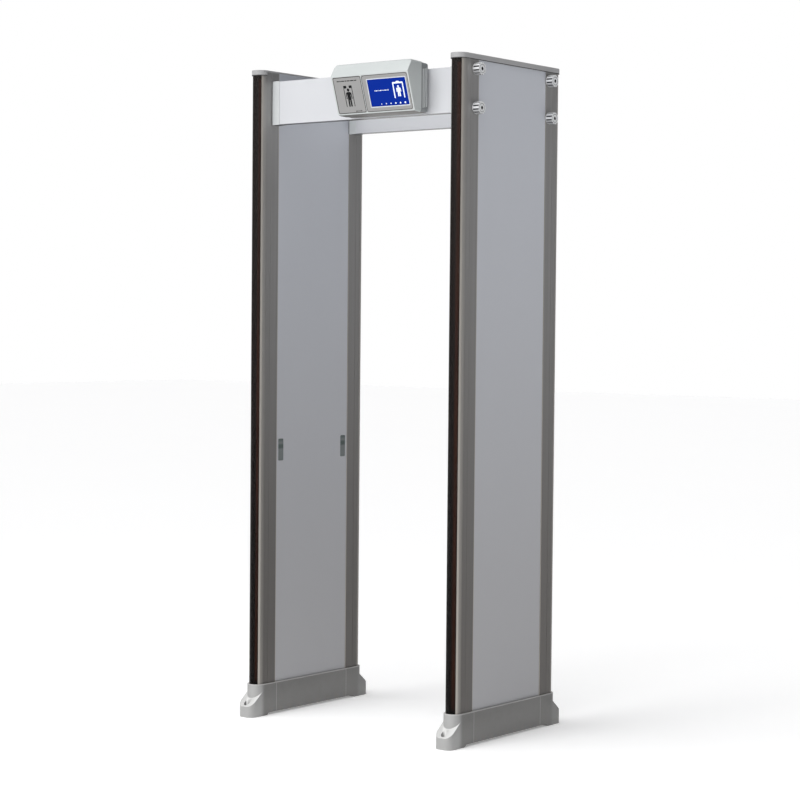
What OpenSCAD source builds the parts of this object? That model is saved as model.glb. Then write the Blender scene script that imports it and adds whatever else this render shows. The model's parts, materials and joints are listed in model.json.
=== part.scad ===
// Walk-through security gate: two side panels with metal detector coils, two cross beams and a console.
// Origin on the floor, midway between the panels. +X runs across the passage, +Y to the rear, +Z up.
// The console side is the front, at -Y. The left panel is the right one mirrored.

/* [Gate] */
// Height from the floor to the top of the caps
gate_h = 2220; // [2100:5:2320]
// Distance between the middle planes of the two side panels
panel_spacing = 850; // [780:5:960]
// Thickness of a side panel
panel_t = 54; // [52:1:62]
// Depth of a side panel over its two rounded columns
panel_d = 564; // [500:2:680]

/* [Columns and boards] */
// Depth of an edge column, from its nose to the boards
column_d = 92; // [86:1:110]
// Wall of the column extrusion
column_wall = 2.2; // [1.8:0.1:3]
// Angle that the light cover reaches to each side of the nose
lens_reach = 48; // [42:1:54]
// Wall of the light cover
lens_wall = 2.2; // [1.8:0.1:3]
// Thickness of a laminate board
board_t = 3; // [2:0.5:5]
// Depth of a board's face below the column faces
board_recess = 1; // [0.5:0.1:2]

/* [Caps and feet] */
// Height of a top cap
cap_h = 18; // [14:1:26]
// Overhang of a cap past the panel
cap_over = 3.5; // [1.5:0.5:5]
// Height of a foot shoe
shoe_h = 110; // [100:1:140]
// Wall of a shoe outside the panel
shoe_over = 6; // [5:0.5:9]
// Length of a foot's nose past the panel
nose_reach = 38; // [32:1:60]
// Height of the nose's front wall
nose_wall_h = 37; // [32:1:55]
// Height of the floor gap under the skirt
skirt_lift = 8; // [5:1:12]
// Length of the pad that stands on the floor
pad_l = 90; // [80:1:120]
// Diameter of the floor anchor hole
anchor_d = 13; // [10:0.5:14]
// Diameter of the anchor's counterbore
counterbore_d = 22; // [20:0.5:26]

/* [Beams and knobs] */
// Height of a cross beam
beam_h = 146; // [140:1:170]
// Thickness of a cross beam
beam_t = 36; // [34:1:46]
// Distance from the gate's top down to a beam's top
beam_drop = 37; // [30:1:60]
// Distance from the boards' edge out to a beam's middle plane
beam_inset = 17; // [12:1:22]
// Width of the collar at a beam's end
collar_w = 33; // [26:1:45]
// Height between a beam's two knobs
knob_rise = 124; // [110:1:126]
// Diameter of a hand knob
knob_d = 40; // [34:1:48]
// Length of a hand knob with its washer
knob_l = 26; // [20:1:34]
// Diameter of a knob's threaded stud
stud_d = 8; // [6:1:8]

/* [Console] */
// Width of the console
console_w = 320; // [300:2:340]
// Distance of the console's middle from the gate's middle
console_x = 120; // [60:2:140]
// Width of the display's visible area
screen_w = 156; // [140:1:160]
// Height of the display's visible area
screen_h = 89; // [80:1:92]

/* [Sensors] */
// Height of the infrared sensor windows
sensor_z = 918; // [700:2:1200]
// Width of a sensor window
sensor_w = 26; // [20:1:28]
// Height of a sensor window
sensor_h = 76; // [60:1:90]

/* [Hidden] */
$fn = 64;
// Extra length of a cutting tool past the face it cuts
past = 1;
// Clearance of parts that slide together, such as a panel in its shoe and cap
fit_gap = 0.3;
// Clearance round a shank in its hole
shank_gap = 0.1;

// Panel
panel_x = panel_spacing / 2;
half_t = panel_t / 2;
nose_y = panel_d / 2 - half_t;
board_y = panel_d / 2 - column_d;
lens_y = nose_y + half_t * cos(lens_reach);
board_face = half_t - board_recess;
board_back = board_face - board_t;
beam_y = board_y + beam_inset;
tongue_l = 12;
port_y = board_y + 46;
port_r = 5;
groove_depth = 0.6;
groove_w = 1.2;
groove_first = 41;
groove_pitch = 22;
channel_half = half_t * sin(lens_reach) - 3;
channel_y = nose_y + 2.5;
cap_plate = 4;
cap_edge = 5;
plate_t = 6;
panel_foot = skirt_lift + plate_t;
panel_top = gate_h - cap_plate;

// Foot shoe
shoe_r = half_t + shoe_over;
nose_front = panel_d / 2 + nose_reach;
nose_corner = 24;
pad_slant = 8;
anchor_back = 16;
slope_back = nose_y + 3;
slope_top = shoe_h - 22;
anchor_y = nose_front - anchor_back;
anchor_seat = 24;

// Core and coil
core_y = board_y - tongue_l - 1;
coil_w = 12;
coil_x = 5;

// Zone lights
light_board_w = 14;
light_board_t = 1.6;
light_pitch = 60;
light_size = 5;
light_t = 1.4;

// Sensors
sensor_y = board_y - 22;
sensor_corner = 4;
sensor_proud = 0.4;
module_depth = 14;
module_w = 20;
module_h = 68;
eye_r = 4;
eye_depth = 4;

// Beams and knobs
inner_face_x = panel_x - half_t;
beam_z = gate_h - beam_drop - beam_h / 2;
beam_wall = 2;
collar_over = 1.5;
collar_plate = 4;
insert_l = 18;
insert_r = 6;
boss_wall = 2.5;
stud_r = stud_d / 2;
stud_hole_r = stud_r + 0.5;
washer_t = 1.6;
washer_r = 12;
flutes = 10;
flute_r = 3.4;
flute_start = 2;
ring_r = knob_d / 2 - 6;
ring_w = 1.5;
ring_depth = 1;
hex_r = 3.5;
hex_depth = 3;

// Screws
cap_screw_r = 2;
cap_head_r = 4;
cap_head_h = 2;
cap_screw_l = 22;
console_screw_r = 1.5;
console_head_r = 3;
console_head_t = 2;
console_screw_l = 42;
screw_sink = 1.5;

// Console side outline, y then z, from the back's lower edge round to the front's lower edge
bracket_t = 6;
bracket_w = 160;
bracket_h = 90;
bracket_corner = 6;
bracket_hole_x = 60;
bracket_hole_z = 30;
bracket_hole_r = 2.75;
console_back = -beam_y - beam_t / 2 - bracket_t;
console_floor = beam_z - beam_h / 2;
console_top = console_floor + 170;
brow_y = console_back - 86;
lip_y = console_back - 110;
chin_y = console_back - 69;
lip_z = console_floor + 130;
chin_z = console_floor + 5;
top_fall = 8;
console_points = [
    [console_back, console_floor],
    [console_back, console_top - top_fall],
    [brow_y, console_top],
    [lip_y, lip_z],
    [chin_y, chin_z]
];
console_wall = 3;
console_corner = 14;
console_edge = 7;
rear_inset = 1.5;
shell_back = console_back - rear_inset;
shell_seam_y = console_back - 34;
face_tilt = atan((chin_y - lip_y) / (lip_z - chin_z));
face_l = norm([chin_y - lip_y, lip_z - chin_z]);
face_half = console_w / 2;
face_margin = 5;
plate_depth = 2;
plate_sink = 0.2;
plate_corner = 5;
seam_x = -36;
screen_x = seam_x + 101;
screen_top = 21;
screen_corner = 2;
display_t = 8;
display_border = 4.7;
post_r = 5;
post_dx = console_w / 2 - 12;
post_low = console_floor + 13;
post_high = console_floor + 150;
front_post_l = 60;
thread_l = 14;

// Circuit board and the parts beside it in the console
circuit_x = console_x + 50;
circuit_z = console_floor + 72;
circuit_size = [140, 1.6, 85];
circuit_hole_x = 60;
circuit_hole_z = 35;
circuit_hole_r = 1.6;
boss_r = 4;
boss_l = 14;
chip_size = [24, 4, 24];
relay_size = [30, 8, 12];
socket_size = [10, 10, 30];
supply_size = [75, 26, 100];
supply_x = console_x - 62.5;
supply_z = console_floor + 75;
sounder_x = console_x - 5;
sounder_z = console_floor + 140;
sounder_r = 11;
sounder_l = 9;
sound_hole_r = 1.5;
sound_hole_l = 2;

// Inlet and switch on the console's left side
inlet_y = console_back - 17;
inlet_z = console_floor + 45;
switch_z = inlet_z + 36;
inlet_flange = [2, 24, 74];
inlet_body = [26, 19, 66];
socket_w = 15;
socket_h = 24;
socket_depth = 15;
pin_inset = 4;
pin_pitch = 7;
pin_w = 4;
pin_t = 2;
switch_depth = 13;
rocker_w = 11;
rocker_pivot = 5;
rocker_hollow = 2.5;
rocker_l = 20;
rocker_tilt = 10;

// ---------- shared shapes ----------

function unit(v) = v / norm(v);

// Half of the angle at corner b between its neighbours a and c
function half_angle(a, b, c) = acos(unit(a - b) * unit(c - b)) / 2;

// Direction from corner b into the outline
function inward(a, b, c) = unit(unit(a - b) + unit(c - b));

function before(p, i) = p[(i + len(p) - 1) % len(p)];
function after(p, i) = p[(i + 1) % len(p)];

// A convex outline moved inwards by d
function inset(p, d) = [
    for (i = [0 : len(p) - 1])
        p[i] + inward(before(p, i), p[i], after(p, i)) * d / sin(half_angle(before(p, i), p[i], after(p, i)))
];

// Points of the arc that rounds corner b
function corner_arc(a, b, c, r, steps) =
    let (half = half_angle(a, b, c), centre = b + inward(a, b, c) * r / sin(half), sweep = 180 - 2 * half)
    let (start = b + unit(a - b) * r / tan(half) - centre, stop = b + unit(c - b) * r / tan(half) - centre)
    [for (i = [0 : steps]) let (t = i / steps)
        centre + (start * sin((1 - t) * sweep) + stop * sin(t * sweep)) / sin(sweep)];

// A convex outline with every corner rounded
function rounded(p, r, steps = 5) = [
    for (i = [0 : len(p) - 1]) each corner_arc(before(p, i), p[i], after(p, i), r, steps)
];

module on_right() translate([panel_x, 0, 0]) children();
module on_left() mirror([1, 0, 0]) on_right() children();
module at_rear() mirror([0, 1, 0]) children();
module both_ends() {
    children();
    at_rear() children();
}
module both_sides() {
    children();
    mirror([1, 0, 0]) children();
}

// Extrudes a profile drawn in y and z along x, centred
module along_x(length) rotate([90, 0, 90]) linear_extrude(height = length, center = true) children();

// Cylinder that lies along x, from x = 0
module rod_x(r, h) rotate([0, 90, 0]) cylinder(r = r, h = h);

// Cylinder that lies along y, from y = 0 forwards
module rod_y(r, h) rotate([90, 0, 0]) cylinder(r = r, h = h);

module rounded_rect(w, h, r) {
    square([w, h - 2 * r], center = true);
    square([w - 2 * r, h], center = true);
    for (x = [-1, 1], y = [-1, 1])
        translate([x * (w / 2 - r), y * (h / 2 - r)]) circle(r = r);
}

// Panel outline grown by r from its middle line
module stadium(r) {
    square([2 * r, 2 * nose_y], center = true);
    for (y = [-1, 1]) translate([0, y * nose_y]) circle(r = r);
}

// ---------- side panel, drawn round x = 0 with its outer face at +x and its front at -y ----------

// Column section with its nose cut off where the light cover starts
module column_outline() {
    intersection() {
        union() {
            translate([0, -nose_y]) circle(r = half_t);
            translate([-half_t, -nose_y]) square([panel_t, nose_y - board_y]);
        }
        translate([-half_t, -lens_y]) square([panel_t, lens_y - board_y]);
    }
}

module column_profile() {
    difference() {
        union() {
            difference() {
                column_outline();
                translate([column_wall - half_t, column_wall - channel_y])
                    square([panel_t - 2 * column_wall, channel_y - board_y - 2 * column_wall]);
            }
            translate([-half_t + column_wall / 2, -port_y - column_wall / 2])
                square([panel_t - column_wall, column_wall]);
            translate([0, -port_y]) circle(r = port_r);
            for (side = [-1, 1])
                translate([side * (board_back - column_wall / 2) - column_wall / 2, -board_y - column_wall / 2])
                    square([column_wall, tongue_l + column_wall / 2]);
        }
        translate([0, -port_y]) circle(r = cap_screw_r + shank_gap);
        translate([-channel_half, -panel_d / 2]) square([2 * channel_half, panel_d / 2 - channel_y]);
        for (side = [-1, 1], i = [0 : 1])
            translate([side * half_t, -board_y - groove_first - i * groove_pitch])
                square([2 * groove_depth, groove_w], center = true);
    }
}

module column() {
    color([0.41, 0.4, 0.39]) difference() {
        translate([0, 0, panel_foot]) linear_extrude(height = panel_top - panel_foot) column_profile();
        for (z = [-1, 1]) translate([-half_t - past, -beam_y, beam_z + z * knob_rise / 2])
            rod_x(stud_hole_r, panel_t + 2 * past);
    }
}

module lens() {
    color([0.13, 0.07, 0.06]) translate([0, 0, panel_foot]) linear_extrude(height = panel_top - panel_foot)
        difference() {
            translate([0, -nose_y]) circle(r = half_t);
            translate([0, -nose_y]) circle(r = half_t - lens_wall);
            translate([-half_t - past, -lens_y]) square([panel_t + 2 * past, lens_y]);
        }
}

module light_board() {
    low = shoe_h + 10;
    high = gate_h - cap_h - 10;
    color([0.1, 0.35, 0.2]) {
        translate([-light_board_w / 2, -channel_y - light_board_t, low])
            cube([light_board_w, light_board_t, high - low]);
        for (z = [low + light_pitch / 2 : light_pitch : high - light_size])
            translate([-light_size / 2, -channel_y - light_board_t - light_t, z])
                cube([light_size, light_t + light_board_t / 2, light_size]);
    }
}

module light_boards() both_ends() light_board();

module board() {
    translate([board_back, fit_gap - board_y, panel_foot])
        cube([board_t, 2 * (board_y - fit_gap), panel_top - panel_foot]);
}

module outer_board() color([0.65, 0.66, 0.68]) board();

// Rounded block of a sensor window's size, grown by extra, from depth x0 to x1 on the passage side
module sensor_block(extra, x0, x1) {
    both_ends() translate([(x0 + x1) / 2, -sensor_y, sensor_z]) along_x(x1 - x0)
        rounded_rect(sensor_w + 2 * extra, sensor_h + 2 * extra, sensor_corner + extra);
}

module inner_board() {
    color([0.65, 0.66, 0.68]) difference() {
        mirror([1, 0, 0]) board();
        sensor_block(fit_gap / 2, -board_face - past, -board_back + past);
    }
}

module sensor_window() {
    color([0.2, 0.25, 0.24]) sensor_block(0, -board_face - sensor_proud, -board_back);
}

module sensor_module() {
    color([0.12, 0.12, 0.13]) both_ends() translate([-board_back, -sensor_y, sensor_z])
        difference() {
            translate([0, -module_w / 2, -module_h / 2]) cube([module_depth, module_w, module_h]);
            for (z = [-1, 1]) translate([-past, 0, z * module_h / 4]) rod_x(eye_r, eye_depth + past);
        }
}

// Rectangular loop along the core's edge, grown outwards
module coil_loop(grow) {
    translate([coil_x + coil_w / 2, 0, (panel_foot + panel_top) / 2]) along_x(coil_w) difference() {
        square([2 * (core_y + grow), panel_top - panel_foot + 2 * grow], center = true);
        square([2 * (core_y - coil_w), panel_top - panel_foot - 2 * coil_w], center = true);
    }
}

module coil() color([0.6, 0.33, 0.16]) coil_loop(0);

module core() {
    color([0.9, 0.88, 0.8]) difference() {
        translate([-board_back, -core_y, panel_foot])
            cube([2 * board_back, 2 * core_y, panel_top - panel_foot]);
        coil_loop(past);
        sensor_block(2, -board_back - past, module_depth - board_back);
    }
}

module cap() {
    color([0.72, 0.73, 0.74]) difference() {
        translate([0, 0, gate_h - cap_h]) linear_extrude(height = cap_h) stadium(half_t + cap_over);
        translate([0, 0, gate_h - cap_h - past]) linear_extrude(height = cap_h - cap_plate + past)
            stadium(half_t + fit_gap);
        translate([-half_t - cap_over - past, -nose_y, gate_h - cap_h - past])
            cube([cap_over + past + board_recess, 2 * nose_y, cap_h - cap_edge + past]);
        for (y = [-1, 1]) translate([0, y * port_y, 0]) {
            translate([0, 0, panel_top - past])
                cylinder(r = cap_screw_r + shank_gap, h = cap_plate + 2 * past);
            translate([0, 0, gate_h - cap_head_h])
                cylinder(r1 = cap_screw_r + shank_gap, r2 = cap_head_r + shank_gap, h = cap_head_h);
        }
    }
}

module cap_screw_pair() {
    for (y = [-1, 1]) translate([0, y * port_y, gate_h]) {
        translate([0, 0, -cap_screw_l]) cylinder(r = cap_screw_r, h = cap_screw_l - cap_head_h);
        translate([0, 0, -cap_head_h]) cylinder(r1 = cap_screw_r, r2 = cap_head_r, h = cap_head_h);
    }
}

// ---------- foot ----------

// Plan of the nose and its pad, with rounded front corners
module nose_plan() {
    translate([-shoe_r, nose_corner - nose_front]) square([2 * shoe_r, pad_l - nose_corner]);
    translate([nose_corner - shoe_r, -nose_front]) square([2 * (shoe_r - nose_corner), pad_l]);
    for (x = [-1, 1])
        translate([x * (shoe_r - nose_corner), nose_corner - nose_front]) circle(r = nose_corner);
}

// Foot shoe from the front nose to y = foot_end
module foot(foot_end) {
    color([0.42, 0.42, 0.41]) difference() {
        union() {
            translate([0, 0, skirt_lift]) linear_extrude(height = shoe_h - skirt_lift) {
                translate([0, -nose_y]) circle(r = shoe_r);
                translate([-shoe_r, -nose_y]) square([2 * shoe_r, nose_y + foot_end]);
            }
            intersection() {
                linear_extrude(height = slope_top) nose_plan();
                along_x(3 * shoe_r) polygon([
                    [-nose_front, 0], [-nose_front, nose_wall_h], [-slope_back, slope_top],
                    [pad_l - nose_front, slope_top], [pad_l - nose_front, skirt_lift],
                    [pad_l - nose_front - pad_slant, 0]
                ]);
            }
        }
        translate([0, 0, panel_foot]) linear_extrude(height = shoe_h) stadium(half_t + fit_gap);
        translate([0, -anchor_y, -past]) cylinder(d = anchor_d, h = shoe_h);
        translate([0, -anchor_y, anchor_seat]) cylinder(d = counterbore_d, h = shoe_h);
    }
}

module front_foot() foot(board_y - 1 - fit_gap);
module rear_foot() at_rear() foot(1 - board_y);

// ---------- beams ----------

module at_beam() translate([0, -beam_y, beam_z]) children();

module beam() {
    color([0.82, 0.84, 0.85]) at_beam() difference() {
        cube([2 * (inner_face_x - collar_plate), beam_t, beam_h], center = true);
        cube([2 * inner_face_x, beam_t - 2 * beam_wall, beam_h - 2 * beam_wall], center = true);
    }
}

// End collar with two bosses for the threaded inserts
module collar() {
    at_beam() difference() {
        union() {
            difference() {
                translate([inner_face_x - collar_w, -beam_t / 2 - collar_over, -beam_h / 2 - collar_over])
                    cube([collar_w, beam_t + 2 * collar_over, beam_h + 2 * collar_over]);
                translate([inner_face_x - collar_w - past, -beam_t / 2, -beam_h / 2])
                    cube([collar_w - collar_plate + past, beam_t, beam_h]);
            }
            for (z = [-1, 1]) translate([inner_face_x - collar_plate - insert_l, 0, z * knob_rise / 2])
                rod_x(insert_r + boss_wall, insert_l + past);
        }
        for (z = [-1, 1]) translate([0, 0, z * knob_rise / 2]) {
            translate([inner_face_x - collar_w, 0, 0]) rod_x(stud_hole_r, collar_w + past);
            translate([inner_face_x - collar_plate - insert_l - past, 0, 0])
                rod_x(insert_r + shank_gap / 2, insert_l + past);
        }
    }
}

module collar_pair() color([0.78, 0.8, 0.81]) both_sides() collar();

module insert_pair() {
    at_beam() for (z = [-1, 1])
        translate([inner_face_x - collar_plate - insert_l, 0, z * knob_rise / 2]) difference() {
            rod_x(insert_r, insert_l);
            translate([-past, 0, 0]) rod_x(stud_r + shank_gap / 2, insert_l + 2 * past);
        }
}

module beam_inserts() color([0.75, 0.6, 0.3]) both_sides() both_ends() insert_pair();

// Places a child on a knob's axis, with x = 0 on the panel's outer face
module at_knob(z) translate([half_t, -beam_y, beam_z + z * knob_rise / 2]) children();

module knob(z) {
    grip_l = knob_l - washer_t;
    stud_l = panel_t + collar_plate + insert_l;
    color([0.86, 0.87, 0.88]) at_knob(z) difference() {
        union() {
            translate([washer_t, 0, 0]) difference() {
                rod_x(knob_d / 2, grip_l);
                for (i = [0 : flutes - 1]) rotate([i * 360 / flutes, 0, 0])
                    translate([flute_start, 0, knob_d / 2 + flute_r / 3]) rod_x(flute_r, grip_l);
                translate([grip_l - ring_depth, 0, 0]) difference() {
                    rod_x(ring_r, ring_depth + past);
                    rod_x(ring_r - ring_w, ring_depth + past);
                }
            }
            translate([-stud_l, 0, 0]) rod_x(stud_r, stud_l + washer_t + past);
        }
        translate([knob_l - hex_depth, 0, 0]) rotate([0, 90, 0])
            cylinder(r = hex_r, h = hex_depth + past, $fn = 6);
    }
}

module washer(z) {
    color([0.7, 0.71, 0.72]) at_knob(z) difference() {
        rod_x(washer_r, washer_t);
        translate([-past, 0, 0]) rod_x(stud_hole_r, washer_t + 2 * past);
    }
}

// ---------- console ----------

// Console body inside its outline by d, between two depths measured from the back
module console_body(d, front, back) {
    intersection() {
        translate([console_x, 0, 0]) along_x(console_w - 2 * d)
            polygon(rounded(inset(console_points, d), console_edge));
        translate([console_x, back, (console_floor + console_top) / 2]) rotate([90, 0, 0])
            linear_extrude(height = back - front)
                rounded_rect(console_w - 2 * d, console_top - console_floor - 2 * d, console_corner - d);
    }
}

module at_posts() {
    for (x = [-1, 1], z = [post_low, post_high])
        translate([console_x + x * post_dx, shell_back, z]) children();
}

// Holes of the circuit board, from the shell's back
module at_circuit_holes() {
    for (x = [-1, 1], z = [-1, 1])
        translate([circuit_x + x * circuit_hole_x, shell_back, circuit_z + z * circuit_hole_z]) children();
}

module console_rear_shell() {
    color([0.78, 0.8, 0.79]) difference() {
        union() {
            difference() {
                console_body(rear_inset, shell_seam_y, console_back);
                console_body(rear_inset + console_wall, shell_seam_y - past, console_back);
            }
            intersection() {
                at_posts() rod_y(post_r, shell_back - shell_seam_y);
                console_body(rear_inset, shell_seam_y, console_back);
            }
            at_circuit_holes() rod_y(boss_r, boss_l);
        }
        at_posts() {
            translate([0, past, 0]) rod_y(console_screw_r + shank_gap, shell_back - shell_seam_y + 2 * past);
            translate([0, past, 0]) rod_y(console_head_r + shank_gap, console_head_t + past + screw_sink);
        }
        translate([console_x - console_w / 2, inlet_y, (inlet_z + switch_z) / 2])
            cube([4 * console_wall, inlet_body[1] + fit_gap, inlet_body[2] + fit_gap], center = true);
    }
}

// Places a child on the sloping face: x from the console's middle, z up the slope from its top edge
module on_face() translate([console_x, lip_y, lip_z]) rotate([face_tilt, 0, 0]) children();

// Block on the sloping face, from depth y0 to y1 behind it, given its side and slope limits
module face_block(x0, x1, z0, z1, y0, y1, r) {
    on_face() translate([(x0 + x1) / 2, y1, (z0 + z1) / 2]) rotate([90, 0, 0])
        linear_extrude(height = y1 - y0) rounded_rect(x1 - x0, z1 - z0, r);
}

module plate_area(gap, y0, y1) {
    face_block(face_margin - face_half - gap, seam_x - 1 + gap,
        face_margin - face_l - gap, -face_margin + gap, y0, y1, plate_corner);
}

module bezel_area(gap, y0, y1) {
    face_block(seam_x + 1 - gap, face_half - face_margin + gap,
        face_margin - face_l - gap, -face_margin + gap, y0, y1, plate_corner);
}

module screen_area(gap, y0, y1) {
    face_block(screen_x - screen_w / 2 - gap, screen_x + screen_w / 2 + gap,
        -screen_top - screen_h - gap, -screen_top + gap, y0, y1, screen_corner);
}

module console_front_shell() {
    color([0.9, 0.92, 0.92]) difference() {
        union() {
            difference() {
                console_body(0, lip_y - past, shell_seam_y - fit_gap);
                console_body(console_wall, lip_y + console_wall, shell_seam_y + past);
            }
            intersection() {
                translate([0, shell_seam_y - fit_gap - shell_back, 0]) at_posts() rod_y(post_r, front_post_l);
                console_body(0, lip_y - past, shell_seam_y - fit_gap);
            }
        }
        translate([0, shell_seam_y - shell_back, 0]) at_posts()
            translate([0, past, 0]) rod_y(console_screw_r + shank_gap, thread_l);
        plate_area(fit_gap / 2, -past, plate_depth);
        bezel_area(fit_gap / 2, -past, plate_depth);
        screen_area(display_border + fit_gap, -past, 3 * console_wall);
    }
}

module membrane_plate() color([0.65, 0.64, 0.63]) plate_area(0, plate_sink, plate_depth);

module display_bezel() {
    color([0.66, 0.65, 0.65]) difference() {
        bezel_area(0, plate_sink, plate_depth);
        screen_area(0, -past, plate_depth + past);
    }
}

module display() color([0, 0.16, 0.66]) screen_area(display_border, plate_depth, plate_depth + display_t);

// Part of a given size that stands on the circuit board at x and z
module on_circuit(size, x, z) {
    translate([x, -(size[1] + circuit_size[1]) / 2 + shank_gap, z])
        cube(size + [0, 2 * shank_gap, 0], center = true);
}

module main_board() {
    color([0.1, 0.35, 0.2]) difference() {
        translate([circuit_x, shell_back - boss_l - circuit_size[1] / 2, circuit_z]) {
            cube(circuit_size, center = true);
            on_circuit(chip_size, 20, 12);
            on_circuit(relay_size, -30, -15);
            on_circuit(socket_size, -60, 10);
        }
        at_circuit_holes() translate([0, past - boss_l, 0]) rod_y(circuit_hole_r, circuit_size[1] + 2 * past);
    }
}

module power_supply() {
    color([0.7, 0.7, 0.7]) translate([supply_x, shell_back - console_wall - supply_size[1] / 2, supply_z])
        cube(supply_size, center = true);
}

module sounder() {
    color([0.1, 0.1, 0.1]) translate([sounder_x, shell_back - console_wall, sounder_z]) difference() {
        rod_y(sounder_r, sounder_l);
        translate([0, sound_hole_l - sounder_l, 0]) rod_y(sound_hole_r, sound_hole_l + past);
    }
}

module console_bracket() {
    color([0.5, 0.5, 0.5]) translate([console_x, console_back + bracket_t, beam_z]) rotate([90, 0, 0])
        linear_extrude(height = bracket_t + rear_inset) difference() {
            rounded_rect(bracket_w, bracket_h, bracket_corner);
            for (x = [-1, 1], y = [-1, 1])
                translate([x * bracket_hole_x, y * bracket_hole_z]) circle(r = bracket_hole_r);
        }
}

module console_screws() {
    color([0.6, 0.6, 0.62]) at_posts() {
        translate([0, -screw_sink, 0]) rod_y(console_head_r, console_head_t);
        translate([0, -screw_sink, 0]) rod_y(console_screw_r, console_screw_l);
    }
}

// Frame on the console's left side, x = 0 on the wall's outer face and +x into the console
module at_inlet(z) translate([console_x - console_w / 2 + rear_inset, inlet_y, z]) children();

module power_inlet() {
    middle = (inlet_z + switch_z) / 2;
    color([0.08, 0.08, 0.09]) difference() {
        union() {
            at_inlet(middle) translate([-inlet_flange[0] / 2, 0, 0]) cube(inlet_flange, center = true);
            at_inlet(middle) translate([(inlet_body[0] - past) / 2, 0, 0])
                cube([inlet_body[0] + past, inlet_body[1], inlet_body[2]], center = true);
        }
        at_inlet(inlet_z) difference() {
            translate([(socket_depth - inlet_flange[0] - past) / 2, 0, 0])
                cube([socket_depth + inlet_flange[0] + past, socket_w, socket_h], center = true);
            for (z = [-1 : 1]) translate([(socket_depth + pin_inset) / 2, 2 - 4 * abs(z), z * pin_pitch])
                cube([socket_depth - pin_inset + past, pin_t, pin_w], center = true);
        }
        at_inlet(switch_z) translate([(switch_depth - inlet_flange[0] - past) / 2, 0, 0])
            cube([switch_depth + inlet_flange[0] + past, rocker_w + 1, rocker_l + 4], center = true);
    }
}

// Rocker with a hollow face, tilted to its resting side
module power_rocker() {
    color([0.75, 0.1, 0.08]) at_inlet(switch_z) translate([rocker_pivot, 0, 0]) rotate([0, rocker_tilt, 0])
        difference() {
            rotate([90, 0, 0]) cylinder(d = rocker_l, h = rocker_w, center = true);
            translate([-rocker_l, 0, 0]) rotate([90, 0, 0])
                cylinder(d = rocker_l + 2 * rocker_hollow, h = rocker_l, center = true);
            translate([rocker_pivot, -rocker_w, -rocker_l]) cube([rocker_l, 2 * rocker_w, 2 * rocker_l]);
        }
}

// ---------- nodes ----------

module right_front_column() on_right() column();
module right_rear_column() on_right() at_rear() column();
module right_outer_board() on_right() outer_board();
module right_inner_board() on_right() inner_board();
module right_core() on_right() core();
module right_coil() on_right() coil();
module right_front_lens() on_right() lens();
module right_rear_lens() on_right() at_rear() lens();
module right_light_boards() on_right() light_boards();
module right_cap() on_right() cap();
module right_front_foot() on_right() front_foot();
module right_rear_foot() on_right() rear_foot();
module left_front_column() on_left() column();
module left_rear_column() on_left() at_rear() column();
module left_outer_board() on_left() outer_board();
module left_inner_board() on_left() inner_board();
module left_core() on_left() core();
module left_coil() on_left() coil();
module left_front_lens() on_left() lens();
module left_rear_lens() on_left() at_rear() lens();
module left_light_boards() on_left() light_boards();
module left_cap() on_left() cap();
module left_front_foot() on_left() front_foot();
module left_rear_foot() on_left() rear_foot();

module sensor_windows() both_sides() on_right() sensor_window();
module sensor_modules() both_sides() on_right() sensor_module();
module cap_screws() color([0.6, 0.6, 0.62]) both_sides() on_right() cap_screw_pair();

module front_beam() beam();
module rear_beam() at_rear() beam();
module front_beam_collars() collar_pair();
module rear_beam_collars() at_rear() collar_pair();

module right_front_upper_knob() on_right() knob(1);
module right_front_lower_knob() on_right() knob(-1);
module right_rear_upper_knob() on_right() at_rear() knob(1);
module right_rear_lower_knob() on_right() at_rear() knob(-1);
module left_front_upper_knob() on_left() knob(1);
module left_front_lower_knob() on_left() knob(-1);
module left_rear_upper_knob() on_left() at_rear() knob(1);
module left_rear_lower_knob() on_left() at_rear() knob(-1);
module right_front_upper_washer() on_right() washer(1);
module right_front_lower_washer() on_right() washer(-1);
module right_rear_upper_washer() on_right() at_rear() washer(1);
module right_rear_lower_washer() on_right() at_rear() washer(-1);
module left_front_upper_washer() on_left() washer(1);
module left_front_lower_washer() on_left() washer(-1);
module left_rear_upper_washer() on_left() at_rear() washer(1);
module left_rear_lower_washer() on_left() at_rear() washer(-1);

right_front_column();
right_rear_column();
right_outer_board();
right_inner_board();
right_core();
right_coil();
right_front_lens();
right_rear_lens();
right_light_boards();
right_cap();
right_front_foot();
right_rear_foot();
left_front_column();
left_rear_column();
left_outer_board();
left_inner_board();
left_core();
left_coil();
left_front_lens();
left_rear_lens();
left_light_boards();
left_cap();
left_front_foot();
left_rear_foot();
sensor_windows();
sensor_modules();
front_beam();
rear_beam();
front_beam_collars();
rear_beam_collars();
beam_inserts();
right_front_upper_knob();
right_front_lower_knob();
right_rear_upper_knob();
right_rear_lower_knob();
left_front_upper_knob();
left_front_lower_knob();
left_rear_upper_knob();
left_rear_lower_knob();
right_front_upper_washer();
right_front_lower_washer();
right_rear_upper_washer();
right_rear_lower_washer();
left_front_upper_washer();
left_front_lower_washer();
left_rear_upper_washer();
left_rear_lower_washer();
console_bracket();
console_rear_shell();
console_front_shell();
membrane_plate();
display_bezel();
display();
main_board();
power_supply();
sounder();
power_inlet();
power_rocker();
console_screws();
cap_screws();
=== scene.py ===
import json
from math import atan2, cos, pi, radians, sin

import bmesh
import bpy
from mathutils import Matrix, Vector

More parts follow.
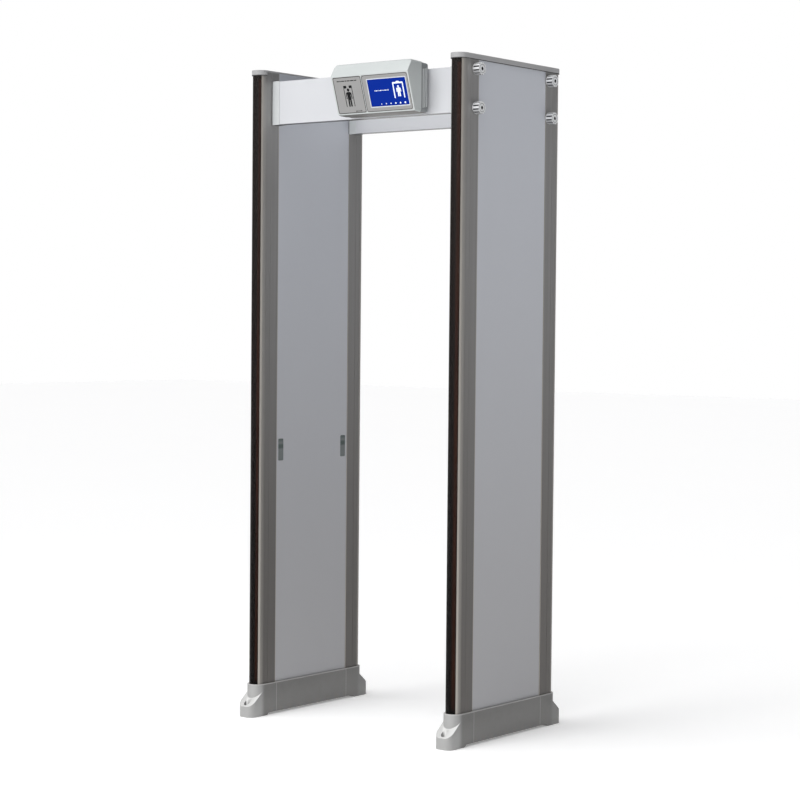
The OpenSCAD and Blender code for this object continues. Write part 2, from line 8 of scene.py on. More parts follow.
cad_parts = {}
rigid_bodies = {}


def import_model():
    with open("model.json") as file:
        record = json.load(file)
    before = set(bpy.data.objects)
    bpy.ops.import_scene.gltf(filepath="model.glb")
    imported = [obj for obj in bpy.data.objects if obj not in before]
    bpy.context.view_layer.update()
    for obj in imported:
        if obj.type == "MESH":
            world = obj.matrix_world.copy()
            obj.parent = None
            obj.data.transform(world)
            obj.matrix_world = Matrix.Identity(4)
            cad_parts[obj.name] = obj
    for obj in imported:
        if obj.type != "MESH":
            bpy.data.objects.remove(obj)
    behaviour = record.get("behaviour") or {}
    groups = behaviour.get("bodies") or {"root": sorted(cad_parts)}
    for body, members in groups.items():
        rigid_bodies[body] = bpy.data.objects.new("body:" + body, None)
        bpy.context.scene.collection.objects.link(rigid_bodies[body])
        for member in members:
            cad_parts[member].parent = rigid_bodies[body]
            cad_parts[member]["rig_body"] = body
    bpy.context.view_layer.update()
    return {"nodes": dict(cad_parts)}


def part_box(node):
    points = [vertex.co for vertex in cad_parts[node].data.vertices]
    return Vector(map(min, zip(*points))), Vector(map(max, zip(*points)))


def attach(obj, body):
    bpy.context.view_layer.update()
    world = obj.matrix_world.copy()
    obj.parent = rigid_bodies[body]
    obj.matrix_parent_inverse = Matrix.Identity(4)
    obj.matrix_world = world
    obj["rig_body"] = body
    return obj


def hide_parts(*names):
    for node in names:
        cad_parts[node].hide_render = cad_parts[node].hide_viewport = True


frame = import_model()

# ---------- Eye and light ----------
# The gate is seen from the right of its console, at chest height, from about seven metres away.
# Soft light falls from the front and above, and the room is darker on its two sides.
EYE_SPOT = (4.4158, -5.6314, 1.3579)
EYE_HEADING, EYE_DIP, EYE_ROLL = 38.14, 2.08, 0.51
LENS_MM, FILM_MM = 94.29, 36
RIGHT_WALL, LEFT_WALL = (0.95, 0.28, 0.12), (-0.95, 0.28, 0.12)

eye = bpy.data.cameras.new("eye")
eye.lens = LENS_MM
eye.sensor_width = FILM_MM
eye_stand = bpy.data.objects.new("eye", eye)
eye_turn = (Matrix.Rotation(radians(EYE_HEADING), 4, "Z")
            @ Matrix.Rotation(radians(90 - EYE_DIP), 4, "X")
            @ Matrix.Rotation(radians(EYE_ROLL), 4, "Z"))
eye_stand.matrix_world = Matrix.Translation(EYE_SPOT) @ eye_turn
bpy.context.scene.collection.objects.link(eye_stand)
bpy.context.scene.camera = eye_stand
bpy.context.scene.view_settings.view_transform = "Standard"


class Wire:
    """An output in a node tree. Sums and comparisons written with it add Math nodes."""

    def __init__(self, nodes, socket):
        self.nodes, self.socket = nodes, socket

    def __add__(self, other):
        return self.nodes.sum("ADD", self, other)

    def __sub__(self, other):
        return self.nodes.sum("SUBTRACT", self, other)

    def __rsub__(self, other):
        return self.nodes.sum("SUBTRACT", other, self)

    def __mul__(self, other):
        return self.nodes.sum("MULTIPLY", self, other)

    def __abs__(self):
        return self.nodes.sum("ABSOLUTE", self)

    def __gt__(self, other):
        return self.nodes.sum("GREATER_THAN", self, other)

    def __lt__(self, other):
        return self.nodes.sum("LESS_THAN", self, other)

    __radd__ = __add__
    __rmul__ = __mul__


class Nodes:
    """A node tree that is built up call by call."""

    def __init__(self, tree):
        self.tree = tree

    def node(self, kind, settings={}, values={}, output=0):
        """Adds a node, sets it up, feeds its sockets and hands back one output."""
        made = self.tree.nodes.new(kind)
        for key, value in settings.items():
            if key == "stops":
                ramp = made.color_ramp
                while len(ramp.elements) < len(value):
                    ramp.elements.new(0.5)
                for element, (at, shade) in zip(ramp.elements, value):
                    element.position = at
                    element.color = (*shade, 1)
            else:
                setattr(made, key, value)
        for key, value in values.items():
            self.feed(made.inputs[key], value)
        return Wire(self, made.outputs[output])

    def feed(self, socket, value):
        """Links a wire to a socket, or sets a number, a vector or a colour on it."""
        if isinstance(value, Wire):
            self.tree.links.new(value.socket, socket)
        elif socket.type == "RGBA":
            socket.default_value = (*value, 1)
        else:
            socket.default_value = value

    def sum(self, operation, *terms):
        """One step of arithmetic."""
        return self.node("ShaderNodeMath", {"operation": operation}, dict(enumerate(terms)))

    def smooth(self, value, low, high):
        """Rises smoothly from 0 to 1 as the value goes from low to high."""
        return self.node("ShaderNodeMapRange", {"interpolation_type": "SMOOTHSTEP"},
                         {"Value": value, "From Min": low, "From Max": high})

    def mix(self, share, first, second):
        """Blends two colours."""
        return self.node("ShaderNodeMix", {"data_type": "RGBA"}, {0: share, 6: first, 7: second}, 2)


room = bpy.data.worlds.new("room")
room.use_nodes = True
bpy.context.scene.world = room
sky = room.node_tree.nodes["Background"]
air = Nodes(room.node_tree)
aim = air.node("ShaderNodeTexCoord", output=0)
seen = air.node("ShaderNodeLightPath", output=0)


def dark_wall(toward, depth):
    """How dark the room is round one direction. The wall lights the gate and isn't seen itself."""
    near = air.node("ShaderNodeVectorMath", {"operation": "DOT_PRODUCT"}, {0: aim, 1: toward}, 1)
    return depth * air.smooth(near, 0.0, 0.75) * (1 - seen)


walls = dark_wall(RIGHT_WALL, 1.0) + dark_wall(LEFT_WALL, 0.8)
air.feed(sky.inputs["Color"], air.mix(walls, (1.0, 1.0, 1.0), (0.10, 0.10, 0.11)))
sky.inputs["Strength"].default_value = 1.0


def lamp(name, kind, spot, target, energy):
    """A light at one spot that shines at another."""
    glow = bpy.data.lights.new(name, kind)
    glow.energy = energy
    made = bpy.data.objects.new(name, glow)
    back = Vector(spot) - Vector(target)
    turn = back.to_track_quat("Z", "Y").to_matrix().to_4x4()
    made.matrix_world = Matrix.Translation(spot) @ turn
    bpy.context.scene.collection.objects.link(made)
    return glow


lamp("front_softbox", "AREA", (-1.0, -5.8, 4.6), (0, 0, 1.3), 84).size = 2.6
lamp("high_light", "SUN", (-0.10, -0.45, 1.0), (0, 0, 0), 1.2).angle = radians(50)

# ---------- Floor ----------
# The gate stands on a plain pale floor of sealed screed.
# It is one smooth sheet with a faint cloudiness and a very fine tooth.
FLOOR_HALF = 30


class Finish(Nodes):
    """A material built from nodes, measured in metres on the object."""

    def __init__(self, name):
        self.material = bpy.data.materials.new(name)
        self.material.use_nodes = True
        super().__init__(self.material.node_tree)
        self.place = self.node("ShaderNodeTexCoord", output=3)

    def grain(self, per_metre, detail=2.0, stretch=(1, 1, 1)):
        """Noise with that many features to the metre, drawn out along an axis by a small stretch."""
        spot = self.node("ShaderNodeMapping", {}, {"Vector": self.place, "Scale": stretch})
        return self.node("ShaderNodeTexNoise", {},
                         {"Vector": spot, "Scale": per_metre, "Detail": detail})

    def axis(self, letter):
        """The place along x, y or z."""
        return self.node("ShaderNodeSeparateXYZ", {}, {"Vector": self.place}, "xyz".index(letter))

    def line(self, value, middle, half, blur):
        """1 where the value is within half a line's width of its middle."""
        return self.smooth(half - abs(value - middle), 0, blur)

    def underside(self, low=0.75, high=0.95):
        """Rises from 0 to 1 as faces turn to look down, from one downward slope to another."""
        facing = self.node("ShaderNodeNewGeometry", output=1)
        up = self.node("ShaderNodeSeparateXYZ", {}, {"Vector": facing}, 2)
        return self.smooth(0 - up, low, high)

    def relief(self, height, depth):
        """A bumped normal from a height map."""
        return self.node("ShaderNodeBump", {}, {"Height": height, "Distance": depth, "Strength": 1.0})

    def surface(self, **values):
        """Feeds the shader's sockets by name, and hands the finish back."""
        shader = self.tree.nodes["Principled BSDF"]
        for key, value in values.items():
            self.feed(shader.inputs[key.replace("_", " ").title().replace("Ior", "IOR")], value)
        return self


def screed():
    made = Finish("pale_screed")
    cloud = made.grain(0.6, 4)
    tooth = made.grain(500, 2)
    return made.surface(
        base_color=made.mix(cloud, (0.96, 0.96, 0.96), (0.985, 0.985, 0.98)),
        roughness=0.7 + 0.15 * tooth, emission_color=(1.0, 1.0, 1.0), emission_strength=0.21,
        normal=made.relief(tooth, 0.0002))


def piece(name, shape, finish, bend=35):
    """Makes an object from a bmesh, smooth where its faces meet at less than the bend."""
    mesh = bpy.data.meshes.new(name)
    shape.to_mesh(mesh)
    shape.free()
    mesh.shade_smooth()
    mesh.set_sharp_from_angle(angle=radians(bend))
    mesh.materials.append(finish.material)
    made = bpy.data.objects.new(name, mesh)
    bpy.context.scene.collection.objects.link(made)
    return made


floor_sheet = bmesh.new()
bmesh.ops.create_grid(floor_sheet, x_segments=1, y_segments=1, size=FLOOR_HALF)
piece("floor", floor_sheet, screed())

# ---------- Edge columns ----------
# Four extruded aluminium columns, satin anodised, with fine drawing lines along their length.
# The bevels beside the light cover and the lips that hold the boards carry a painted highlight, and
# the metal is painted lighter toward the nose as painted light.
SIDES, ENDS = ("right", "left"), ("front", "rear")
PANEL_X = 0.425
NOSE_Y = 0.268
BOARD_LIP_Y = 0.1925
CHANNEL_Y, CHANNEL_HALF = 0.2572, 0.0173
TOUCHING = 0.00002


def merged(node):
    """A copy of a CAD node with its loose triangles joined into whole faces."""
    shape = bmesh.new()
    shape.from_mesh(frame["nodes"][node].data)
    bmesh.ops.remove_doubles(shape, verts=shape.verts, dist=TOUCHING)
    bmesh.ops.dissolve_limit(shape, angle_limit=radians(0.5), verts=shape.verts, edges=shape.edges)
    return shape


def stands_for(node, finish, edge=0.0, steps=2, bend=35, shape=None):
    """The finished piece for a CAD node, with its edges eased and moving with the node's body."""
    made = piece("finished_" + node, merged(node) if shape is None else shape, finish, bend)
    if edge:
        ease = made.modifiers.new("eased_edges", "BEVEL")
        ease.width = edge
        ease.segments = steps
        ease.limit_method = "ANGLE"
        ease.angle_limit = radians(bend)
        ease.harden_normals = True
    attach(made, frame["nodes"][node]["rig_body"])
    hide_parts(node)
    return made


def column_metal():
    made = Finish("satin_anodised_aluminium")
    lines = made.grain(1000, 3, (1, 1, 0.004))
    bands = made.grain(60, 2, (1, 1, 0.01))
    depth = abs(made.axis("y"))
    across = abs(abs(made.axis("x")) - PANEL_X)
    # Painted shade: the satin is much darker toward the floor.
    height = made.smooth(made.axis("z"), 0.25, 2.25)
    satin_with_painted_light = made.mix(height, (0.106, 0.098, 0.091), (0.420, 0.416, 0.412))
    satin_with_painted_light = made.mix(0.35 * bands, satin_with_painted_light, (0.11, 0.105, 0.10))
    satin_with_painted_light = made.mix(0.25 * lines, satin_with_painted_light, (0.36, 0.35, 0.34))
    # Painted light: the metal lightens toward the nose, and the bright strips on the bevels and board
    # lips are painted highlights.
    nose_highlight = made.smooth(depth, NOSE_Y - 0.020, NOSE_Y)
    satin_with_painted_light = made.mix(0.6 * nose_highlight, satin_with_painted_light, (0.42, 0.40, 0.37))
    bevel_highlight = made.smooth(depth, NOSE_Y - 0.0012, NOSE_Y + 0.0002)
    lip_highlight = made.smooth(BOARD_LIP_Y - depth, 0, 0.0004)
    metal = made.mix(bevel_highlight + lip_highlight, satin_with_painted_light, (0.46, 0.43, 0.39))
    in_channel = made.smooth(CHANNEL_HALF - across, 0, 0.0002)
    channel = in_channel * made.smooth(depth, CHANNEL_Y, CHANNEL_Y + 0.0002)
    return made.surface(
        base_color=made.mix(channel, metal, (0.010, 0.008, 0.007)), metallic=0.55,
        roughness=0.38 + 0.14 * lines, normal=made.relief(lines, 0.00008))


column_finish = column_metal()
for side in SIDES:
    for end in ENDS:
        name = f"{side}_{end}_column"
        stands_for(name, column_finish, edge=0.0004, steps=1)

# ---------- Boards ----------
# Four high pressure laminate boards, pale blue grey, slid into the columns from above.
# The laminate has a fine pearl texture and a hardly visible cloud from its pressing, and is painted
# darker toward the floor as painted shade.


def board_laminate():
    made = Finish("pale_laminate")
    pearl = made.grain(650, 2)
    cloud = made.grain(5, 3, (1, 1, 0.5))
    height = made.smooth(made.axis("z"), 0.1, 2.2)
    # Painted shade: the laminate is darker toward the floor.
    tone = made.mix(height, (0.415, 0.414, 0.426), (0.615, 0.638, 0.69))
    tone = made.mix(0.10 * cloud, tone, (0.44, 0.45, 0.48))
    tone = made.mix(0.12 * pearl, tone, (0.66, 0.67, 0.70))
    return made.surface(base_color=tone, roughness=0.42 + 0.12 * pearl,
                        normal=made.relief(pearl, 0.00012))


board_finish = board_laminate()
for side in SIDES:
    for face in ("outer", "inner"):
        name = f"{side}_{face}_board"
        stands_for(name, board_finish, edge=0.0006, steps=2)

# ---------- Cores and coils ----------
# Behind the boards a rigid foam block fills each panel and carries the detector's coil.
# The coil is enamelled copper wire, wound flat in a groove round the block.


def foam():
    made = Finish("rigid_foam")
    cells = made.node("ShaderNodeTexVoronoi", {}, {"Vector": made.place, "Scale": 700.0})
    cloud = made.grain(30, 3)
    return made.surface(
        base_color=made.mix(cells * 8 * cloud, (0.80, 0.77, 0.66), (0.90, 0.88, 0.80)),
        roughness=0.85 + 0.1 * cloud, normal=made.relief(cells, 0.0004))


def winding():
    made = Finish("enamelled_copper")
    turns = made.sum("SINE", made.axis("x") * (2 * pi / 0.0008))
    wear = made.grain(120, 3)
    return made.surface(
        base_color=made.mix(0.5 + 0.5 * turns, (0.25, 0.09, 0.035), (0.55, 0.23, 0.09)), metallic=0.7,
        roughness=0.25 + 0.2 * wear, normal=made.relief(turns, 0.0002))


core_finish = foam()
coil_finish = winding()
for side in SIDES:
    stands_for(side + "_core", core_finish, edge=0.0008, steps=1)
    stands_for(side + "_coil", coil_finish, edge=0.0015, steps=2)

# ---------- Zone light boards ----------
# A narrow circuit board stands in the channel of each nose, with a light for every zone.
# Its dull red solder mask and its lights show through the smoked cover, helped by a faint painted glow
# over the whole board.


def light_strip():
    made = Finish("red_light_board")
    up = made.axis("z")
    pads = made.sum("PINGPONG", up, 0.0025) * 400
    patch = made.smooth(made.grain(30, 3, (1, 1, 0.12)), 0.3, 0.7)
    soot = made.grain(400, 2)
    mask = made.mix(patch, (0.30, 0.075, 0.035), (0.46, 0.13, 0.055))
    mask = made.mix((pads > 0.86) * 0.35, mask, (0.62, 0.30, 0.16))
    return made.surface(
        base_color=made.mix(0.2 * soot, mask, (0.10, 0.03, 0.02)), roughness=0.45 + 0.2 * soot,
        normal=made.relief(pads, 0.0002),
        # Painted glow: the whole board glows faintly in its mask colour, so that it shows through the
        # dark cover.
        emission_color=made.mix(patch, (0.30, 0.060, 0.020), (0.58, 0.140, 0.048)),
        emission_strength=0.7)


strip_finish = light_strip()
for side in SIDES:
    name = side + "_light_boards"
    stands_for(name, strip_finish, edge=0.0003, steps=1)

# ---------- Light covers ----------
# The rounded nose of each panel is a smoked acrylic cover, extruded and snapped into its column.
# It is dark and glossy, and lets a little of the light board be seen.


def smoked_acrylic():
    made = Finish("smoked_acrylic")
    haze = made.grain(25, 3, (1, 1, 0.05))
    dust = made.grain(900, 1)
    height = made.smooth(made.axis("z"), 0.1, 2.2)
    # Painted shade: the smoke is darker toward the floor.
    smoke_with_painted_shade = made.mix(height, (0.001, 0.0008, 0.0006), (0.022, 0.019, 0.018))
    return made.surface(
        base_color=made.mix(0.3 * haze, smoke_with_painted_shade, (0.02, 0.012, 0.010)), specular_ior_level=0.1,
        alpha=0.74 + 0.06 * haze, roughness=0.10 + 0.10 * haze, ior=1.49,
        normal=made.relief(dust, 0.00003))


cover_finish = smoked_acrylic()
for side in SIDES:
    for end in ENDS:
        name = f"{side}_{end}_lens"
        stands_for(name, cover_finish, bend=60)

# ---------- Caps ----------
# A moulded cap closes the top of each panel, pale grey with a fine spark texture.
# Two countersunk cross head screws hold it to the columns' screw ports.
# The lowest band of the cap's skirt is painted dark, a painted shadow under the cap.
CAP_SHADOW_BAND = 0.0022


def cap_moulding():
    made = Finish("cap_moulding")
    spark = made.grain(1100, 2)
    cloud = made.grain(12, 3)
    tone = made.mix(cloud, (0.39, 0.39, 0.395), (0.44, 0.44, 0.445))
    # Painted shadow: a dark band along the bottom of the skirt.
    shadow_band = made.axis("z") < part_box("right_cap")[0].z + CAP_SHADOW_BAND
    return made.surface(
        base_color=made.mix(0.9 * shadow_band, tone, (0.03, 0.03, 0.03)),
        roughness=0.45 + 0.15 * spark, normal=made.relief(spark, 0.0001))


def screw_steel():
    made = Finish("zinc_plated_steel")
    lathe = made.grain(1500, 2)
    cast = made.grain(150, 2)
    return made.surface(
        base_color=made.mix(cast, (0.50, 0.50, 0.50), (0.62, 0.61, 0.57)), metallic=0.9,
        roughness=0.3 + 0.15 * lathe, normal=made.relief(lathe, 0.00005))


cap_finish = cap_moulding()
screw_finish = screw_steel()
for side in SIDES:
    stands_for(side + "_cap", cap_finish, edge=0.0018, steps=3)
stands_for("cap_screws", screw_finish, edge=0.0002, steps=1)

# ---------- Feet ----------
# Each panel stands in two cast feet, painted a fine grained light grey.
# Their toes are painted lighter as painted light, most on the front feet and on faces that look up,
# and painted highlights run round the mouth of each foot and down the joint where two feet meet.
FOOT_TOE_Y = 0.272
FOOT_JOINT_Y = 0.1895
FOOT_MOUTH_Z = 0.1085
ANCHOR_Y, ANCHOR_CLEAR = 0.304, 0.0125
POCKET_END_Y, POCKET_CLEAR = 0.255, 0.0315
FOOT_EDGE, FOOT_CREASE = 0.0014, radians(32)


def foot_paint():
    made = Finish("grained_foot_paint")
    grit = made.grain(900, 3)
    blot = made.grain(35, 3)
    depth = abs(made.axis("y"))
    tone = made.mix(blot, (0.182, 0.179, 0.173), (0.215, 0.211, 0.204))
    # Painted light: the toes are lighter, the front ones most, and lighter still on faces that look
    # up.
    lit_toe = made.smooth(depth, FOOT_TOE_Y - 0.024, FOOT_TOE_Y)
    lit_toe = lit_toe * (0.35 + 0.65 * (made.axis("y") < 0))
    shaded_upright = made.underside(-0.5, -0.2)
    tone = made.mix(lit_toe, tone, made.mix(shaded_upright, (0.66, 0.66, 0.65), (0.40, 0.40, 0.395)))
    tone = made.mix(0.2 * grit, tone, (0.55, 0.55, 0.54))
    # Painted highlights: bright lines at the joint and round the mouth.
    joint_highlight = made.line(depth, FOOT_JOINT_Y, 0.0009, 0.0004)
    mouth_highlight = made.smooth(made.axis("z"), FOOT_MOUTH_Z - 0.002, FOOT_MOUTH_Z)
    painted_highlight = made.sum("MAXIMUM", joint_highlight, mouth_highlight)
    return made.surface(
        base_color=made.mix(0.7 * painted_highlight, tone, (0.62, 0.61, 0.60)), metallic=0.25,
        roughness=0.42 + 0.16 * grit, normal=made.relief(grit, 0.00025))


def foot_shape(node):
    """A foot with its outer edges eased, clear of the panel's pocket and the anchor hole."""
    shape = merged(node)
    low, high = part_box(node)
    middle = (low.x + high.x) / 2
    anchor = -ANCHOR_Y if "front" in node else ANCHOR_Y

    def outside(spot):
        """Whether a corner is clear of the pocket and of the anchor hole."""
        pocket = Vector((spot.x - middle, max(abs(spot.y) - POCKET_END_Y, 0))).length
        hole = Vector((spot.x - middle, spot.y - anchor)).length
        return pocket > POCKET_CLEAR and hole > ANCHOR_CLEAR

    rim = [edge for edge in shape.edges if edge.calc_face_angle(0) > FOOT_CREASE
           and all(outside(corner.co) for corner in edge.verts)]
    bmesh.ops.bevel(shape, geom=rim, offset=FOOT_EDGE, affect="EDGES", segments=2, profile=0.5,
                    material=-1, clamp_overlap=True)
    return shape


foot_finish = foot_paint()
for side in SIDES:
    for end in ENDS:
        name = f"{side}_{end}_foot"
        stands_for(name, foot_finish, shape=foot_shape(name))

# ---------- Infrared sensors ----------
# A dark green grey window is set flush in each inner board at hip height, front and rear.
# Behind it sits a black module with an emitter above a receiver, which shows as a darker spot.
RECEIVER_Z, EMITTER_Z = 0.929, 0.954


def window_plastic():
    made = Finish("infrared_window")
    haze = made.grain(60, 2)
    up = made.axis("z")
    beside_receiver = made.smooth(abs(up - RECEIVER_Z), 0.003, 0.012)
    toward_emitter = made.smooth(up, EMITTER_Z - 0.014, EMITTER_Z)
    pale = beside_receiver * (1 - 0.7 * toward_emitter)
    return made.surface(
        base_color=made.mix(pale, (0.050, 0.075, 0.070), (0.135, 0.155, 0.155)),
        roughness=0.16 + 0.1 * haze, ior=1.5, normal=made.relief(haze, 0.0001))


def black_moulding():
    made = Finish("black_moulding")
    spark = made.grain(1200, 2)
    cloud = made.grain(40, 2)
    return made.surface(
        base_color=made.mix(cloud, (0.018, 0.018, 0.020), (0.032, 0.032, 0.034)),
        roughness=0.42 + 0.2 * spark, normal=made.relief(spark, 0.0001))


window_finish = window_plastic()
black_finish = black_moulding()
stands_for("sensor_windows", window_finish, edge=0.0003, steps=2)
stands_for("sensor_modules", black_finish, edge=0.0004, steps=1)

# ---------- Cross beams ----------
# Two box beams of folded sheet join the panels, powder coated in white.
# The coat has the faint ripple of sprayed powder, and a dark line shows where a collar meets a panel.
# The undersides carry painted shade.
COLLAR_END_X = 0.3965


def powder_coat():
    made = Finish("white_powder_coat")
    ripple = made.grain(320, 2)
    cloud = made.grain(6, 3)
    coat = made.mix(cloud, (0.61, 0.62, 0.645), (0.65, 0.66, 0.685))
    return made.surface(
        # Painted shade: faces that look down are painted near black.
        base_color=made.mix(made.underside(), coat, (0.03, 0.03, 0.032)),
        roughness=0.32 + 0.1 * ripple, coat_weight=0.15, normal=made.relief(ripple, 0.00015))


def pale_moulding():
    made = Finish("pale_moulding")
    spark = made.grain(1000, 2)
    cloud = made.grain(10, 3)
    tone = made.mix(cloud, (0.58, 0.605, 0.61), (0.62, 0.64, 0.645))
    butt = made.smooth(abs(made.axis("x")), COLLAR_END_X - 0.001, COLLAR_END_X)
    # Painted shade on faces that look down, joined with the dark line where a collar meets a panel.
    shade_and_joint_line = made.sum("MAXIMUM", made.underside(), butt)
    return made.surface(
        base_color=made.mix(shade_and_joint_line, tone, (0.04, 0.04, 0.042)),
        roughness=0.42 + 0.14 * spark, normal=made.relief(spark, 0.0001))


beam_finish = powder_coat()
collar_finish = pale_moulding()
for end in ENDS:
    stands_for(end + "_beam", beam_finish, edge=0.0018, steps=3)
    name = end + "_beam_collars"
    stands_for(name, collar_finish, edge=0.0008, steps=2)


def insert_brass():
    made = Finish("turned_brass")
    lathe = made.grain(1400, 2, (0.3, 1, 1))
    tarnish = made.grain(140, 3)
    return made.surface(
        base_color=made.mix(tarnish, (0.62, 0.44, 0.17), (0.74, 0.56, 0.25)), metallic=1.0,
        roughness=0.26 + 0.18 * lathe, normal=made.relief(lathe, 0.00006))


stands_for("beam_inserts", insert_brass(), edge=0.0004, steps=1)

# ---------- Knobs ----------
# Eight hand knobs clamp the panels to the beams through their threaded studs.
# Each is a fluted silver moulding with a ring on its face and a dark socket in the middle; painted
# shade darkens its flutes, its lower side and its socket.
KNOB_Y, KNOBS_MIDDLE_Z, KNOB_RISE = 0.207, 2.110, 0.062
FLUTE_RADIUS, RING_RADIUS, SOCKET_RADIUS = 0.0192, 0.0134, 0.0056
RING_FROM_X, FLUTES_TO_X = 0.4700, 0.4770


def knob_moulding():
    made = Finish("knob_moulding")
    spark = made.grain(1300, 2)
    cloud = made.grain(60, 2)
    out = abs(made.axis("x"))
    across = abs(made.axis("y")) - KNOB_Y
    above = abs(made.axis("z") - KNOBS_MIDDLE_Z) - KNOB_RISE
    radius = made.sum("SQRT", across * across + above * above)
    # Painted shade: the hollows of the flutes are painted dark.
    flute_shade = made.smooth(FLUTE_RADIUS - radius, 0, 0.0008) * (out < FLUTES_TO_X)
    ring = made.line(radius, RING_RADIUS, 0.0011, 0.0004) * (out > RING_FROM_X)
    # Painted shade: the socket is painted near black.
    socket = made.smooth(SOCKET_RADIUS - radius, 0, 0.0002)
    tone = made.mix(cloud, (0.86, 0.87, 0.88), (0.92, 0.93, 0.94))
    tone = made.mix(0.75 * ring, tone, (0.20, 0.20, 0.21))
    # Painted shade: the lower side of each knob is darker.
    tone = made.mix(0.85 * made.underside(0.05, 0.85), tone, (0.08, 0.08, 0.085))
    tone = made.mix(flute_shade, tone, (0.035, 0.035, 0.04))
    return made.surface(
        base_color=made.mix(socket, tone, (0.008, 0.008, 0.009)), metallic=0.1,
        roughness=0.26 + 0.15 * spark, coat_weight=0.3, normal=made.relief(spark, 0.00008))


knob_finish = knob_moulding()
for side in SIDES:
    for end in ENDS:
        for height in ("upper", "lower"):
            knob = f"{side}_{end}_{height}_knob"
            washer = f"{side}_{end}_{height}_washer"
            stands_for(knob, knob_finish, edge=0.0006, steps=2)
            stands_for(washer, screw_finish, edge=0.0003, steps=1)

# ---------- Console ----------
# The console is a moulded housing on a steel bracket on the front beam.
# The near white front shell meets a grey rear shell at a seam, and four long screws hold them.
# Three upright ribs stiffen the right wall of the rear shell.
SEAM_Y = -0.2654
SHELL_RIM, SHELL_CREASE = 0.0042, radians(40)
RIBS, RIB_SIZE, RIB_EDGE = 3, (0.0030, 0.0044, 0.126), 0.0009
RIB_FRONT_Y, RIB_PITCH = -0.2380, 0.0092
RIB_RISE, RIB_DROP = 0.082, 0.002


def shell_moulding():
    made = Finish("console_moulding")
    spark = made.grain(1200, 2)
    cloud = made.grain(9, 3)
    back = made.smooth(made.axis("y"), SEAM_Y - 0.0018, SEAM_Y - 0.0014)
    tone = made.mix(cloud, (0.55, 0.585, 0.58), (0.59, 0.62, 0.615))
    tone = made.mix(back, tone, (0.285, 0.30, 0.305))
    seam = made.line(made.axis("y"), SEAM_Y, 0.0010, 0.0004)
    tone = made.mix(0.8 * seam, tone, (0.08, 0.08, 0.082))
    return made.surface(
        # Painted shade: faces that look down are painted dark.
        base_color=made.mix(made.underside(), tone, (0.10, 0.092, 0.085)),
        roughness=0.34 + 0.14 * spark, normal=made.relief(spark, 0.00008))


def bracket_steel():
    made = Finish("bracket_steel")
    roll = made.grain(700, 2, (0.05, 1, 1))
    stain = made.grain(25, 3)
    return made.surface(
        base_color=made.mix(stain, (0.38, 0.38, 0.38), (0.46, 0.46, 0.45)), metallic=0.9,
        roughness=0.36 + 0.16 * roll, normal=made.relief(roll, 0.00006))


def shell_shape(node):
    """A shell with the edges round its two end walls well rounded, apart from those on the seam."""
    shape = merged(node)
    low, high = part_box(node)
    seam = high.y if "front" in node else low.y

    def on_end_wall(edge):
        """Whether an edge runs round an end wall and not along the seam."""
        spots = [corner.co for corner in edge.verts]
        at_left = all(spot.x < low.x + TOUCHING for spot in spots)
        at_right = all(spot.x > high.x - TOUCHING for spot in spots)
        return (at_left or at_right) and not all(abs(spot.y - seam) < TOUCHING for spot in spots)

    ends = [edge for edge in shape.edges
            if edge.calc_face_angle(0) > SHELL_CREASE and on_end_wall(edge)]
    bmesh.ops.bevel(shape, geom=ends, offset=SHELL_RIM, affect="EDGES", segments=4, profile=0.5,
                    material=-1, clamp_overlap=True)
    return shape


shell_finish = shell_moulding()
stands_for("console_bracket", bracket_steel(), edge=0.0006, steps=2)
for name in ("console_front_shell", "console_rear_shell"):
    shell = stands_for(name, shell_finish, edge=0.0006, steps=2, shape=shell_shape(name))
stands_for("console_screws", screw_finish, edge=0.0003, steps=1)

shell_low, shell_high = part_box("console_rear_shell")
for step in range(RIBS):
    rib = bmesh.new()
    bmesh.ops.create_cube(rib, size=1)
    spot = (shell_high.x + 0.0001, RIB_FRONT_Y - RIB_PITCH * step,
            shell_low.z + RIB_RISE - RIB_DROP * step)
    bmesh.ops.transform(rib, verts=rib.verts,
                        matrix=Matrix.Translation(spot) @ Matrix.Diagonal((*RIB_SIZE, 1)))
    bmesh.ops.bevel(rib, geom=rib.edges, offset=RIB_EDGE, affect="EDGES", segments=2, profile=0.5,
                    material=-1, clamp_overlap=True)
    made = piece(f"console_rib_{step}", rib, collar_finish)
    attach(made, "gate")

# ---------- Membrane plate and bezel ----------
# Two inset plates cover the sloping face: a printed membrane on the left and the display's frame.
# Each has a dark outline, and the membrane shows a standing figure in a gate and rows of small marks.
FACE_TOP = (0.120, -0.341, 2.167)
FACE_LEAN = atan2(41, 125)
face = Matrix.Translation(FACE_TOP) @ Matrix.Rotation(FACE_LEAN, 4, "X")
# A print's layer is how far behind the front of the face it starts, and how thick it is.
PLATE_INK, SCREEN_INK = (0.00025, 0.0001), (0.0020, 0.0002)
MM = 0.001


def membrane_film():
    made = Finish("membrane_film")
    tooth = made.grain(1500, 2)
    cloud = made.grain(20, 2)
    return made.surface(
        base_color=made.mix(cloud, (0.295, 0.292, 0.290), (0.330, 0.327, 0.322)),
        roughness=0.45 + 0.12 * tooth, normal=made.relief(tooth, 0.00005))


def ink(name, tone):
    made = Finish(name)
    wear = made.grain(900, 2)
    rubbed = [0.5 * part + 0.02 for part in tone]
    return made.surface(
        base_color=made.mix(0.3 * wear, tone, rubbed), roughness=0.5 + 0.15 * wear,
        specular_ior_level=0.15, normal=made.relief(wear, 0.00002))


